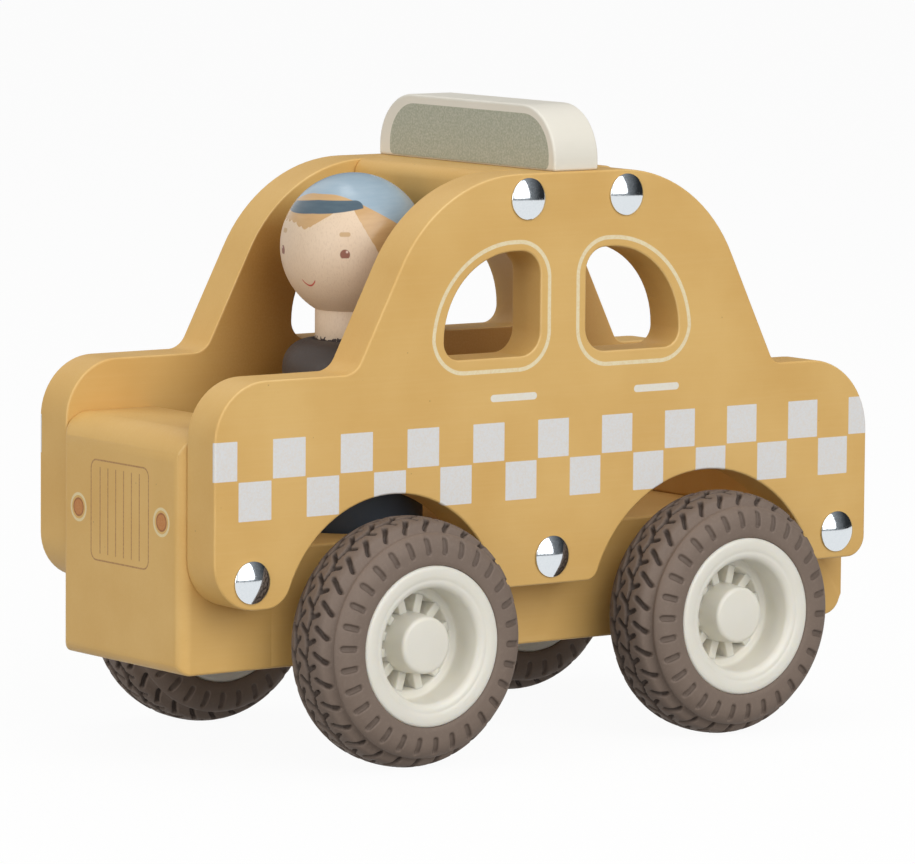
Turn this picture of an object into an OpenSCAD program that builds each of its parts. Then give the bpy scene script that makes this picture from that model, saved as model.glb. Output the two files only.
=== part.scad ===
// Wooden toy taxi: two painted side plates pinned to a row of blocks, rubber-tyred wheels on
// steel axles, and a lift-out peg driver. Millimetres, X forward, Y to the car's left, Z up,
// origin on the floor under the middle of the car. Body heights are measured from the axle line.

/* [Overall] */
// Length from the nose of the bonnet block to the tail of the chassis block
car_length = 181.1; // [176:0.1:190]
// Clear width between the two side plates
cabin_width = 46.7; // [44:0.1:52]

/* [Side plates] */
// Thickness of the side plate boards
plate_thickness = 10.6; // [9:0.1:12]
// Height of the plates' lower edge above the axle line
sill_rise = 8.7; // [8:0.1:9.6]
// Height of the bonnet line above the axle line
bonnet_rise = 57.5; // [55:0.1:61]
// Height of the boot line above the axle line
boot_rise = 53.9; // [51:0.1:57]
// Height of the roof line above the axle line
roof_rise = 98.7; // [95:0.1:102]
// Length of the bonnet line, from the plates' front edge to the foot of the windscreen
bonnet_length = 36.2; // [32:0.1:40]
// Length of the boot line, from the plates' rear edge to the foot of the rear screen
boot_length = 27; // [24:0.1:30]
// Slope of the windscreen edge from level
windscreen_angle = 62.2; // [59:0.1:65]
// Slope of the rear screen edge from level
rear_screen_angle = 63.8; // [60:0.1:66]
// Radius of the two roof shoulders
roof_radius = 35; // [28:0.5:40]
// Radius of the front upper corner
bonnet_radius = 13; // [8:0.5:16]
// Radius of the rear upper corner
boot_radius = 16.5; // [10:0.5:18]
// Radius of the front lower corner
chin_radius = 10.5; // [6:0.5:12]
// Radius of the rear lower corner
tail_radius = 4.7; // [3:0.1:8]
// Hollow radius at the foot of the windscreen
windscreen_fillet = 5; // [2:0.5:8]
// Hollow radius at the foot of the rear screen
rear_screen_fillet = 3; // [1:0.5:6]
// Radius where the front foot turns into the front arch
front_foot_radius = 6.5; // [2:0.5:8]
// Radius where the other feet turn into the arches
foot_radius = 3; // [1:0.5:4]

/* [Windows] */
// Length of each window opening
window_length = 25.8; // [22:0.2:28]
// Height of each window opening
window_height = 22.8; // [20:0.1:25]
// Height of the windows' lower edge above the axle line
window_sill_rise = 59.1; // [57:0.1:61]
// Width of the pillar between the windows
pillar_width = 12.4; // [10:0.2:15]
// How far the pillar stands ahead of the middle between the two screen feet
pillar_shift = 1.9; // [-1:0.1:4]
// Radius of the arc that follows the roof shoulder
window_arc = 18.7; // [14:0.1:19]
// Radius of the two corners by the pillar
window_corner = 5.3; // [3:0.1:7]
// Radius of the remaining lower corner
window_toe = 4; // [2:0.1:5]

/* [Wheel arches] */
// Radial gap between a front tyre and its arch
front_arch_gap = 1.6; // [1:0.1:2.4]
// Radial gap between a rear tyre and its arch
rear_arch_gap = 5.2; // [2:0.1:6]
// Gap between the top of each tyre and the top of its arch
arch_top_gap = 4.2; // [3:0.1:6]

/* [Blocks] */
// How far the bonnet block stands ahead of the side plates
nose_proud = 1.5; // [0.5:0.1:3]
// How far the chassis and boot blocks stand behind the side plates
tail_proud = 2; // [0.5:0.1:3]
// Length of the bonnet block
bonnet_block_length = 23.5; // [20:0.1:26]
// Height of the bonnet block's top above the axle line
bonnet_block_rise = 46.4; // [42:0.1:51]
// Radius of the bonnet block's top front edge
nose_radius = 7; // [4:0.5:10]
// Radius of the blocks' other outer edges
block_edge = 3; // [1.5:0.1:4.5]
// Depth of the blocks' underside below the axle line
underside_drop = 5.9; // [5.2:0.1:9]
// Height of the deck on top of the chassis block above the axle line
deck_rise = 20.2; // [19:0.1:23]
// Length of the boot block
boot_block_length = 26; // [22:0.5:30]
// Depth of the boot block's top below the boot line
boot_block_drop = 11.6; // [8:0.1:16]
// Length of the roof block
roof_length = 38; // [34:0.2:43]
// Thickness of the roof block
roof_thickness = 11; // [9:0.5:13]
// How far the roof block's middle lies behind the pillar's
roof_setback = 3.5; // [1:0.1:6]

/* [Roof sign] */
// Thickness of the sign, front to back
sign_thickness = 12; // [10:0.2:15]
// Height of the sign
sign_height = 14.1; // [13:0.1:18]
// How far each end of the sign stays inside the side plate's outer face
sign_inset = 1.2; // [0:0.1:4]
// Radius of the sign's upper corners
sign_radius = 12; // [8:0.5:12.5]
// How far the sign stands ahead of the roof block's middle
sign_shift = -0.6; // [-3:0.1:3]

/* [Pins and dowels] */
// Diameter of the dome-head pins' shanks
pin_diameter = 4; // [3:0.1:4.6]
// Length of the shanks under the head
pin_length = 21; // [19:0.5:22]
// Diameter of the dome heads
pin_head_diameter = 9.4; // [8:0.1:11]
// Height of the dome heads
pin_head_height = 2.8; // [2:0.1:4]
// Distance of the front pins from the plates' front edge
front_pin_inset = 9.6; // [8.5:0.1:12]
// Distance of the rear pins from the plates' rear edge
rear_pin_inset = 8.4; // [7:0.1:11]
// Height of the lower pins above the plates' lower edge
pin_rise = 6.1; // [5.6:0.1:7.4]
// Distance of the roof pins from the ends of the roof block
roof_pin_inset = 5.6; // [5:0.1:7]
// Diameter of the glued wooden dowels
dowel_diameter = 6; // [5:0.2:7]
// Length of the dowels between the blocks
dowel_length = 20; // [14:1:24]
// Length of the dowels under the roof sign
sign_dowel_length = 14; // [10:0.5:16]
// Distance between the two dowels across the bonnet block, and across the roof sign
dowel_spacing = 24; // [18:1:28]
// Distance between the two dowels across the boot block
boot_dowel_spacing = 12; // [9:1:13]

/* [Wheels] */
// Outer radius of the tyres, which is also the height of the axles
tyre_radius = 27; // [26:0.2:28]
// Width of the tyres
tyre_width = 20; // [18:0.2:21]
// Radius of the tyres' shoulders
tyre_shoulder = 8.5; // [6:0.5:9]
// Distance between the two axles, as a share of the car's length
wheelbase_share = 0.4716; // [0.46:0.0002:0.49]
// Distance from the plates' front edge to the front axle, as a share of the car's length
overhang_share = 0.2551; // [0.25:0.0001:0.265]
// How far the tyres sit inside the plates' outer faces
wheel_tuck = 5.2; // [4.4:0.1:6]
// Outer radius of the rims
rim_radius = 17.4; // [16.4:0.1:18.2]
// Width of the flat lip round the rim
rim_lip = 5.4; // [4.6:0.1:6]
// Radius of the hub
hub_radius = 6.2; // [5.4:0.1:7.5]
// Depth of the hub's face behind the lip
hub_depth = 2.1; // [1:0.1:3]
// Depth of the rim's bowl behind the lip, down to its ledge
bowl_depth = 5.2; // [4:0.1:7]
// Width of the ledge round the bottom of the bowl
ledge_width = 1.7; // [1:0.1:2.4]
// Depth of the rim's web behind the lip
web_depth = 12; // [10:0.1:13]
// Thickness of the rim's web
web_thickness = 3; // [2:0.1:4]
// Number of ribs in the rim's dish
rib_count = 12; // [8:1:16]
// Thickness of the ribs
rib_thickness = 1.7; // [1:0.1:2]
// How far the ribs sit below the bowl's ledge
rib_drop = 0.3; // [0.2:0.1:2]
// Radius of the boss behind the rim
boss_radius = 5; // [4:0.1:6]

/* [Axles] */
// Diameter of the steel axles
axle_diameter = 5; // [4:0.1:6]
// Wall of the hub in front of the axle's end
hub_wall = 2; // [1.5:0.1:3]
// Outer diameter of the bushes in the chassis
bush_diameter = 8; // [7.2:0.1:9.4]
// Length of each bush in the chassis
bush_length = 12; // [8:0.5:18]
// Diameter of the bush flanges
flange_diameter = 12; // [10.4:0.2:12]
// Thickness of the bush flanges
flange_thickness = 1.6; // [1:0.1:2.4]

/* [Driver] */
// Diameter of the driver's body
driver_diameter = 31; // [28:0.2:33]
// Height of the driver's body from its base to the shoulder
driver_height = 43.8; // [40:0.1:46]
// Radius of the driver's shoulder
driver_shoulder = 6; // [4:0.5:6.5]
// Small radius round the driver's base
driver_base_edge = 1; // [0.5:0.1:2]
// Diameter of the neck dowel
neck_diameter = 16.8; // [14:0.2:18]
// Length of neck that shows between the body and the head
neck_show = 5.6; // [4:0.1:8]
// How deep the neck dowel is glued into the body and into the head
neck_socket = 8; // [5:0.5:10]
// Diameter of the head
head_diameter = 32.2; // [29:0.2:34]
// How much taller than wide the head is
head_stretch = 1; // [0.5:0.1:3]
// Depth of the round seat in the deck
seat_depth = 3; // [1.5:0.1:5]

/* [Clearances] */
// Radial gap of glued and pressed fits
press_gap = 0.02; // [0.01:0.01:0.04]
// Radial gap of an axle in its bushes
running_gap = 0.05; // [0.03:0.01:0.09]
// Sideways play of each wheel against its bush
side_play = 0.4; // [0.3:0.1:0.8]
// Radial gap round the driver in the seat
seat_gap = 0.4; // [0.3:0.1:0.8]
// Height at which the driver's base sits above the seat's floor
base_gap = 0.2; // [0.1:0.1:0.4]
// Gap between the driver's head and the roof block
head_gap = 0.4; // [0.3:0.1:1.5]

/* [Hidden] */
$fn = 96;
// How far cutting shapes reach past the faces they cut, and joined shapes into each other
overlap = 1;
// How far a round shape reaches past a line or arc that it touches, so that the two cross cleanly
touch_overlap = 0.003;

paint = [0.85, 0.68, 0.42];
cream = [0.90, 0.89, 0.85];
rubber = [0.45, 0.40, 0.37];
steel = [0.75, 0.76, 0.78];
bare_wood = [0.84, 0.72, 0.58];
jacket = [0.33, 0.29, 0.28];

// Heights above the floor
axle_z = tyre_radius;
underside_z = axle_z - underside_drop;
deck_z = axle_z + deck_rise;
sill_z = axle_z + sill_rise;
bonnet_z = axle_z + bonnet_rise;
boot_z = axle_z + boot_rise;
roof_z = axle_z + roof_rise;
window_low_z = axle_z + window_sill_rise;
window_high_z = window_low_z + window_height;
arch_top_z = axle_z + tyre_radius + arch_top_gap;
bonnet_block_z = axle_z + bonnet_block_rise;
boot_block_z = boot_z - boot_block_drop;
roof_low_z = roof_z - roof_thickness;

// Places along the car
nose_x = car_length / 2;
tail_x = -car_length / 2;
plate_front_x = nose_x - nose_proud;
plate_rear_x = tail_x + tail_proud;
windscreen_foot = [plate_front_x - bonnet_length, bonnet_z];
rear_screen_foot = [plate_rear_x + boot_length, boot_z];
cabin_mid_x = (windscreen_foot.x + rear_screen_foot.x) / 2;
pillar_x = cabin_mid_x + pillar_shift;
roof_mid_x = pillar_x - roof_setback;
roof_front_x = roof_mid_x + roof_length / 2;
roof_rear_x = roof_mid_x - roof_length / 2;
sign_mid_x = roof_mid_x + sign_shift;
chassis_front_x = nose_x - bonnet_block_length;
boot_block_front_x = tail_x + boot_block_length;
front_axle_x = plate_front_x - car_length * overhang_share;
rear_axle_x = front_axle_x - car_length * wheelbase_share;
driver_x = roof_front_x + head_gap + head_diameter / 2;

// Places across the car, measured outwards from its middle plane
plate_in = cabin_width / 2;
plate_out = plate_in + plate_thickness;
tyre_in = plate_out - wheel_tuck;
tyre_out = tyre_in + tyre_width;
hub_out = tyre_out - hub_depth;
axle_end = hub_out - hub_wall;
web_out = tyre_out - web_depth;
web_in = web_out - web_thickness;
ledge_out = tyre_out - bowl_depth;
flange_out = plate_in + flange_thickness;
boss_in = flange_out + side_play;
rim_inner_radius = rim_radius - rim_lip;
ledge_radius = rim_inner_radius - ledge_width;

// Centres of the round shapes in the side view, as [x, z]
front_arch_radius = tyre_radius + front_arch_gap;
rear_arch_radius = tyre_radius + rear_arch_gap;
front_arch = [front_axle_x, arch_top_z - front_arch_radius];
rear_arch = [rear_axle_x, arch_top_z - rear_arch_radius];
shoulder_z = roof_z - roof_radius;
front_shoulder = [shoulder_x(windscreen_foot, windscreen_angle, 1), shoulder_z];
rear_shoulder = [shoulder_x(rear_screen_foot, rear_screen_angle, -1), shoulder_z];

// Pins, as [x, z]
lower_pin_z = sill_z + pin_rise;
roof_pin_z = roof_z - roof_thickness / 2;
pins = [
    [plate_front_x - front_pin_inset, lower_pin_z],
    [(front_axle_x + rear_axle_x) / 2, lower_pin_z],
    [plate_rear_x + rear_pin_inset, lower_pin_z],
    [roof_front_x - roof_pin_inset, roof_pin_z],
    [roof_rear_x + roof_pin_inset, roof_pin_z]
];
pin_hole_radius = pin_diameter / 2 + press_gap;

// Dowels
dowel_hole_radius = dowel_diameter / 2 + press_gap;
front_dowel_z = (underside_z + sill_z) / 2;
boot_dowel_x = (tail_x + boot_block_front_x) / 2;

// Driver, from the seat up
seat_z = deck_z - seat_depth;
driver_base_z = seat_z + base_gap;
driver_top_z = driver_base_z + driver_height;
head_radius = head_diameter / 2;
neck_radius = neck_diameter / 2;
neck_hole_radius = neck_radius + press_gap;
// The neck meets the ball of the head on a circle this far below the ball's centre
neck_meets = sqrt(head_radius * head_radius - neck_radius * neck_radius);
head_low_centre_z = driver_top_z + neck_show + neck_meets;
neck_top_z = driver_top_z + neck_show + neck_socket;
neck_low_z = driver_top_z - neck_socket;

// X of the centre of a roof shoulder that touches a screen edge; ahead is 1 in front, -1 behind
function shoulder_x(foot, angle, ahead) =
    foot.x - ahead * (roof_radius + (shoulder_z - foot.y) * cos(angle)) / sin(angle);

// Point where a roof shoulder touches its screen edge
function shoulder_touch(centre, angle, ahead) =
    centre + (roof_radius - touch_overlap) * [ahead * sin(angle), cos(angle)];

// What a round corner takes off a square one; inward points from the corner into the shape
module corner_cut(corner, inward, radius) {
    box = [[-overlap, -overlap], [radius, -overlap], [radius, radius], [-overlap, radius]];
    translate(corner) difference() {
        polygon([for (p = box) [p.x * inward.x, p.y * inward.y]]);
        translate(radius * inward) circle(radius);
    }
}

// Rectangle with its own radius at each corner: low left, low right, high right, high left
module rounded_rect(low, high, radii) {
    corners = [low, [high.x, low.y], high, [low.x, high.y]];
    inward = [[1, 1], [-1, 1], [-1, -1], [1, -1]];
    difference() {
        translate(low) square(high - low);
        for (i = [0:3]) if (radii[i] > 0) corner_cut(corners[i], inward[i], radii[i]);
    }
}

// Side-view shape, stood up in X and Z and given its thickness from one Y to another
module across(from_y, to_y) {
    translate([0, to_y, 0]) rotate([90, 0, 0]) linear_extrude(to_y - from_y) children();
}

// Turns a shape made along Z so that it runs outwards on one side: 1 is left, -1 is right
module outwards(x, z, side) {
    translate([x, 0, z]) rotate([-90 * side, 0, 0]) children();
}

// Filler in the hollow corner where a level line meets a sloping screen edge; ahead is 1 in front
module screen_fillet(foot, angle, ahead, radius) {
    reach = radius / tan((180 - angle) / 2);
    touch = reach * [-cos(angle), sin(angle)];
    translate(foot) mirror([ahead < 0 ? 1 : 0, 0]) difference() {
        polygon([
            [-overlap, -overlap], [reach, -overlap], [reach, radius],
            touch, touch - [overlap, 0]
        ]);
        translate([reach, radius]) circle(radius + touch_overlap);
    }
}

// What the rounded lower corner of an arch takes off a plate; ahead is 1 for its front corner
module arch_corner_cut(arch, arch_radius, ahead, radius) {
    rise = sill_z + radius - arch.y;
    run = sqrt(pow(arch_radius + radius, 2) - rise * rise);
    centre = arch + [ahead * run, rise];
    inside_arch = arch + (arch_radius - overlap) / (arch_radius + radius) * [ahead * run, rise];
    low = sill_z - overlap;
    difference() {
        polygon([centre, [centre.x, low], [inside_arch.x, low], inside_arch]);
        translate(centre) circle(radius + touch_overlap);
    }
}

module window(ahead) {
    near_x = pillar_x + ahead * pillar_width / 2;
    far_x = near_x + ahead * window_length;
    low = [min(near_x, far_x), window_low_z];
    high = [max(near_x, far_x), window_high_z];
    radii = ahead > 0 ? [window_corner, window_toe, window_arc, window_corner]
                      : [window_toe, window_corner, window_corner, window_arc];
    rounded_rect(low, high, radii);
}

module plate_outline() {
    front_touch = shoulder_touch(front_shoulder, windscreen_angle, 1);
    rear_touch = shoulder_touch(rear_shoulder, rear_screen_angle, -1);
    difference() {
        union() {
            rounded_rect([plate_rear_x, sill_z], [cabin_mid_x, boot_z],
                         [tail_radius, 0, 0, boot_radius]);
            rounded_rect([cabin_mid_x - overlap, sill_z], [plate_front_x, bonnet_z],
                         [0, chin_radius, bonnet_radius, 0]);
            polygon([
                [rear_screen_foot.x, sill_z + overlap], [windscreen_foot.x, sill_z + overlap],
                windscreen_foot, front_touch, [front_shoulder.x, roof_z],
                [rear_shoulder.x, roof_z], rear_touch, rear_screen_foot
            ]);
            translate(front_shoulder) circle(roof_radius);
            translate(rear_shoulder) circle(roof_radius);
            screen_fillet(windscreen_foot, windscreen_angle, 1, windscreen_fillet);
            screen_fillet(rear_screen_foot, rear_screen_angle, -1, rear_screen_fillet);
        }
        window(1);
        window(-1);
        translate(front_arch) circle(front_arch_radius);
        translate(rear_arch) circle(rear_arch_radius);
        arch_corner_cut(front_arch, front_arch_radius, 1, front_foot_radius);
        arch_corner_cut(front_arch, front_arch_radius, -1, foot_radius);
        arch_corner_cut(rear_arch, rear_arch_radius, 1, foot_radius);
        arch_corner_cut(rear_arch, rear_arch_radius, -1, foot_radius);
    }
}

// Holes for the pins on one side, as deep as the shanks
module pin_holes(side) {
    for (pin = pins) outwards(pin.x, pin.y, side)
        translate([0, 0, plate_out - pin_length - overlap])
            cylinder(r = pin_hole_radius, h = pin_length + 2 * overlap);
}

module side_plate(side) {
    from_y = side > 0 ? plate_in : -plate_out;
    color(paint) difference() {
        across(from_y, from_y + plate_thickness) plate_outline();
        pin_holes(side);
    }
}

// Block between the plates, with its outer edges rounded in the side view and in the plan
module block(rear_x, front_x, low_z, high_z, side_radii, plan_radii) {
    intersection() {
        across(-plate_in, plate_in) rounded_rect([rear_x, low_z], [front_x, high_z], side_radii);
        translate([0, 0, low_z - overlap]) linear_extrude(high_z - low_z + 2 * overlap)
            rounded_rect([rear_x, -plate_in], [front_x, plate_in], plan_radii);
    }
}

// A pair of dowels along Z, spread across the car, from the joint plane both ways
module upright_dowels(x, joint_z, spacing, length, radius) {
    for (side = [-1, 1]) translate([x, side * spacing / 2, joint_z - length / 2])
        cylinder(r = radius, h = length);
}

// The pair of dowels along X between the bonnet block and the chassis block
module level_dowels(radius, length) {
    for (side = [-1, 1])
        translate([chassis_front_x - length / 2, side * dowel_spacing / 2, front_dowel_z])
            rotate([0, 90, 0]) cylinder(r = radius, h = length);
}

module bonnet_block() {
    color(paint) difference() {
        block(chassis_front_x, nose_x, underside_z, bonnet_block_z,
              [0, block_edge, nose_radius, 0], [0, block_edge, block_edge, 0]);
        level_dowels(dowel_hole_radius, dowel_length + press_gap);
        for (side = [-1, 1]) pin_holes(side);
    }
}

module chassis_block() {
    color(paint) difference() {
        block(tail_x, chassis_front_x, underside_z, deck_z,
              [tail_radius, 0, 0, 0], [0, 0, 0, 0]);
        level_dowels(dowel_hole_radius, dowel_length + press_gap);
        upright_dowels(boot_dowel_x, deck_z, boot_dowel_spacing, dowel_length + press_gap,
                       dowel_hole_radius);
        for (x = [front_axle_x, rear_axle_x]) outwards(x, axle_z, 1)
            translate([0, 0, -plate_in - overlap])
                cylinder(d = bush_diameter + 2 * press_gap, h = cabin_width + 2 * overlap);
        translate([driver_x, 0, seat_z])
            cylinder(d = driver_diameter + 2 * seat_gap, h = seat_depth + overlap);
        for (side = [-1, 1]) pin_holes(side);
    }
}

module boot_block() {
    color(paint) difference() {
        block(tail_x, boot_block_front_x, deck_z, boot_block_z,
              [0, 0, block_edge, nose_radius], [0, 0, 0, 0]);
        upright_dowels(boot_dowel_x, deck_z, boot_dowel_spacing, dowel_length + press_gap,
                       dowel_hole_radius);
    }
}

module roof_block() {
    color(paint) difference() {
        block(roof_rear_x, roof_front_x, roof_low_z, roof_z,
              [block_edge, block_edge, block_edge, block_edge], [0, 0, 0, 0]);
        upright_dowels(sign_mid_x, roof_z, dowel_spacing, sign_dowel_length + press_gap,
                       dowel_hole_radius);
        for (side = [-1, 1]) pin_holes(side);
    }
}

module roof_sign() {
    half_width = plate_out - sign_inset;
    color(cream) difference() {
        translate([sign_mid_x - sign_thickness / 2, 0, roof_z]) rotate([90, 0, 90])
            linear_extrude(sign_thickness)
                rounded_rect([-half_width, 0], [half_width, sign_height],
                             [0, 0, sign_radius, sign_radius]);
        upright_dowels(sign_mid_x, roof_z, dowel_spacing, sign_dowel_length + press_gap,
                       dowel_hole_radius);
    }
}

module bonnet_block_dowels() {
    color(bare_wood) level_dowels(dowel_diameter / 2, dowel_length);
}

module boot_block_dowels() {
    color(bare_wood)
        upright_dowels(boot_dowel_x, deck_z, boot_dowel_spacing, dowel_length, dowel_diameter / 2);
}

module roof_sign_dowels() {
    color(bare_wood)
        upright_dowels(sign_mid_x, roof_z, dowel_spacing, sign_dowel_length, dowel_diameter / 2);
}

// Round-head pin along Z with its head's flat side at zero
module dome_pin() {
    head_radius_flat = pin_head_diameter / 2;
    ball = (pow(head_radius_flat, 2) + pow(pin_head_height, 2)) / (2 * pin_head_height);
    intersection() {
        translate([0, 0, pin_head_height - ball]) sphere(ball);
        cylinder(r = head_radius_flat + overlap, h = pin_head_height + overlap);
    }
    translate([0, 0, -pin_length]) cylinder(d = pin_diameter, h = pin_length + overlap);
}

module dome_pins(side) {
    color(steel) for (pin = pins)
        outwards(pin.x, pin.y, side) translate([0, 0, plate_out]) dome_pin();
}

module axle(x) {
    color(steel) outwards(x, axle_z, 1)
        translate([0, 0, -axle_end]) cylinder(d = axle_diameter, h = 2 * axle_end);
}

module bush(x, side) {
    color(cream) outwards(x, axle_z, side) difference() {
        union() {
            translate([0, 0, plate_in - bush_length])
                cylinder(d = bush_diameter, h = bush_length + overlap);
            translate([0, 0, plate_in]) cylinder(d = flange_diameter, h = flange_thickness);
        }
        translate([0, 0, plate_in - bush_length - overlap])
            cylinder(d = axle_diameter + 2 * running_gap,
                     h = bush_length + flange_thickness + 2 * overlap);
    }
}

module rim(x, side) {
    color(cream) outwards(x, axle_z, side) difference() {
        union() {
            rotate_extrude() {
                translate([rim_inner_radius, tyre_in]) square([rim_lip, tyre_width]);
                translate([ledge_radius, web_in])
                    square([ledge_width + overlap, ledge_out - web_in]);
                translate([0, web_in]) square([rim_inner_radius + overlap, web_thickness]);
                translate([0, web_in]) square([hub_radius, hub_out - web_in]);
                translate([0, boss_in]) square([boss_radius, web_out - boss_in]);
            }
            for (i = [0:rib_count - 1]) rotate(i * 360 / rib_count)
                translate([hub_radius - overlap, -rib_thickness / 2, web_out - overlap])
                    cube([ledge_radius - hub_radius + 2 * overlap, rib_thickness,
                          ledge_out - rib_drop - web_out + overlap]);
        }
        translate([0, 0, boss_in - overlap])
            cylinder(r = axle_diameter / 2 + press_gap, h = axle_end + press_gap - boss_in + overlap);
    }
}

module tyre(x, side) {
    bead = rim_radius + press_gap;
    color(rubber) outwards(x, axle_z, side) rotate_extrude()
        rounded_rect([bead, tyre_in], [tyre_radius, tyre_out], [0, tyre_shoulder, tyre_shoulder, 0]);
}

module driver_body() {
    color(jacket) translate([driver_x, 0, driver_base_z]) difference() {
        rotate_extrude()
            rounded_rect([0, 0], [driver_diameter / 2, driver_height],
                         [0, driver_base_edge, driver_shoulder, 0]);
        translate([0, 0, driver_height - neck_socket - press_gap])
            cylinder(r = neck_hole_radius, h = neck_socket + overlap);
    }
}

module driver_neck() {
    color(bare_wood) translate([driver_x, 0, neck_low_z])
        cylinder(r = neck_radius, h = neck_top_z - neck_low_z);
}

module driver_head() {
    color(bare_wood) translate([driver_x, 0, 0]) difference() {
        union() {
            translate([0, 0, head_low_centre_z]) sphere(head_radius);
            translate([0, 0, head_low_centre_z]) cylinder(r = head_radius, h = head_stretch);
            translate([0, 0, head_low_centre_z + head_stretch]) sphere(head_radius);
        }
        translate([0, 0, neck_low_z]) cylinder(r = neck_hole_radius, h = neck_top_z - neck_low_z + press_gap);
    }
}

side_plate(1);  // left_side_plate
side_plate(-1);  // right_side_plate
bonnet_block();
chassis_block();
boot_block();
roof_block();
roof_sign();
bonnet_block_dowels();
boot_block_dowels();
roof_sign_dowels();
dome_pins(1);  // left_dome_pins
dome_pins(-1);  // right_dome_pins
axle(front_axle_x);  // front_axle
axle(rear_axle_x);  // rear_axle
bush(front_axle_x, 1);  // front_left_bush
bush(front_axle_x, -1);  // front_right_bush
bush(rear_axle_x, 1);  // rear_left_bush
bush(rear_axle_x, -1);  // rear_right_bush
rim(front_axle_x, 1);  // front_left_rim
rim(front_axle_x, -1);  // front_right_rim
rim(rear_axle_x, 1);  // rear_left_rim
rim(rear_axle_x, -1);  // rear_right_rim
tyre(front_axle_x, 1);  // front_left_tyre
tyre(front_axle_x, -1);  // front_right_tyre
tyre(rear_axle_x, 1);  // rear_left_tyre
tyre(rear_axle_x, -1);  // rear_right_tyre
driver_body();
driver_neck();
driver_head();
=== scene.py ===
# %% [markdown]
# # Dressing a wooden toy taxi
# The toy is a sandwich: two painted side plates pinned to a row of blocks, four rubber tyres on
# plastic rims, and a loose peg driver. The frame brings in every CAD solid at its real size, with
# X towards the nose, Y to the car's left and Z up. The solids have sharp edges and no finish, so
# this lesson rounds, paints and prints them, one kind of piece at a time.

# %% Load the solids
import math

import bmesh
import bpy
from mathutils import Matrix, Vector
from mathutils.geometry import interpolate_bezier, intersect_point_line


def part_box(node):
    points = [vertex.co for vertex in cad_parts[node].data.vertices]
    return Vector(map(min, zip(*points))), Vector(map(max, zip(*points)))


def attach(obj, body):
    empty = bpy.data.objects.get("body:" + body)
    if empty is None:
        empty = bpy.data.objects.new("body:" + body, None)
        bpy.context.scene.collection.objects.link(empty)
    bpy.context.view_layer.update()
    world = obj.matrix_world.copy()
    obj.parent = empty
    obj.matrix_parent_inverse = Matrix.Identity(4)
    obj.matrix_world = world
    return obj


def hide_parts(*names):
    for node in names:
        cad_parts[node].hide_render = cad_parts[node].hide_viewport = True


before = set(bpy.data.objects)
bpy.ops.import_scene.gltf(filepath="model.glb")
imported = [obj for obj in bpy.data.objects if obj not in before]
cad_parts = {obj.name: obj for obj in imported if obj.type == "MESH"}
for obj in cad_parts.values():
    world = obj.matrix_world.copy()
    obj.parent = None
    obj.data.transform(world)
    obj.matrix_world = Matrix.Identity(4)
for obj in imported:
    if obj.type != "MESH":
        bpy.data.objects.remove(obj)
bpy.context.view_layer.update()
MM = 0.001

# %% [markdown]
# ## The camera
# A product picture of a small toy is taken from over a metre away with a long lens, which keeps
# its lines nearly parallel. The camera's directions are worked out from three angles: how far it
# is turned round the car, how far it looks down, and how far it leans. The focal length in pixels
# becomes a lens in millimetres through the sensor's width.

# %% Place the camera
PHOTO_WIDTH_PX = 915
FOCAL_PX = 6500
CAMERA_SPOT = Vector((849.5, 1155.0, 225.5)) * MM
TURN = math.radians(143.698)
TILT = math.radians(6.354)
LEAN = math.radians(0.437)

level = Vector((math.cos(TURN), math.sin(TURN), 0))
back = Vector((math.sin(TURN) * math.cos(TILT), -math.cos(TURN) * math.cos(TILT), math.sin(TILT)))
upright = back.cross(level)
right = level * math.cos(LEAN) + upright * math.sin(LEAN)
up = upright * math.cos(LEAN) - level * math.sin(LEAN)

camera_data = bpy.data.cameras.new("photo_camera")
camera_data.sensor_width = 36
camera_data.lens = camera_data.sensor_width * FOCAL_PX / PHOTO_WIDTH_PX
camera_data.clip_end = 20
camera = bpy.data.objects.new("photo_camera", camera_data)
camera.matrix_world = Matrix((right, up, back)).transposed().to_4x4()
camera.location = CAMERA_SPOT
bpy.context.scene.collection.objects.link(camera)
bpy.context.scene.camera = camera
print("lens in mm:", round(camera_data.lens, 1))

# %% [markdown]
# ## One way to add a node
# Every finish below is a small graph of nodes. One function makes a node, sets it up and links
# it, so a graph reads as a list of plain lines. A node's kind may be followed by its operation.
# Positional values fill the sockets that the node shows, such as a noise's place, scale and detail,
# and a value that is itself a socket becomes a link. Colours are written as sRGB hex, as
# in any paint program, and turned to the linear values that light is worked out in. Two more
# functions start and close a material, and one turns a finished shape into an object.

# %% Node and colour helpers
def linear(code):
    shares = [int(code[i:i + 2], 16) / 255 for i in (1, 3, 5)]
    return [s / 12.92 if s <= 0.04045 else ((s + 0.055) / 1.055) ** 2.4 for s in shares] + [1.0]


# Every mix in this lesson is of two colours.
USUAL = {"Mix": {"data_type": "RGBA"}}


def add(tree, kind, *values, named=None, **settings):
    kind, *operation = kind.split()
    node = tree.nodes.new("ShaderNode" + kind)
    if operation:
        node.operation = operation[0]
    for setting, value in {**USUAL.get(kind, {}), **settings}.items():
        setattr(node, setting, value)
    shown = [socket for socket in node.inputs if socket.enabled]
    chosen = list(zip(shown, values))
    chosen += [(node.inputs[name], value) for name, value in (named or {}).items()]
    for socket, value in chosen:
        if isinstance(value, bpy.types.NodeSocket):
            tree.links.new(value, socket)
        elif value is not None:
            socket.default_value = value
    return next((socket for socket in node.outputs if socket.enabled), None)


def start_material(name):
    material = bpy.data.materials.new(name)
    material.use_nodes = True
    tree = material.node_tree
    tree.nodes.clear()
    place = add(tree, "TexCoord").node.outputs["Object"]
    return material, tree, place


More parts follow.
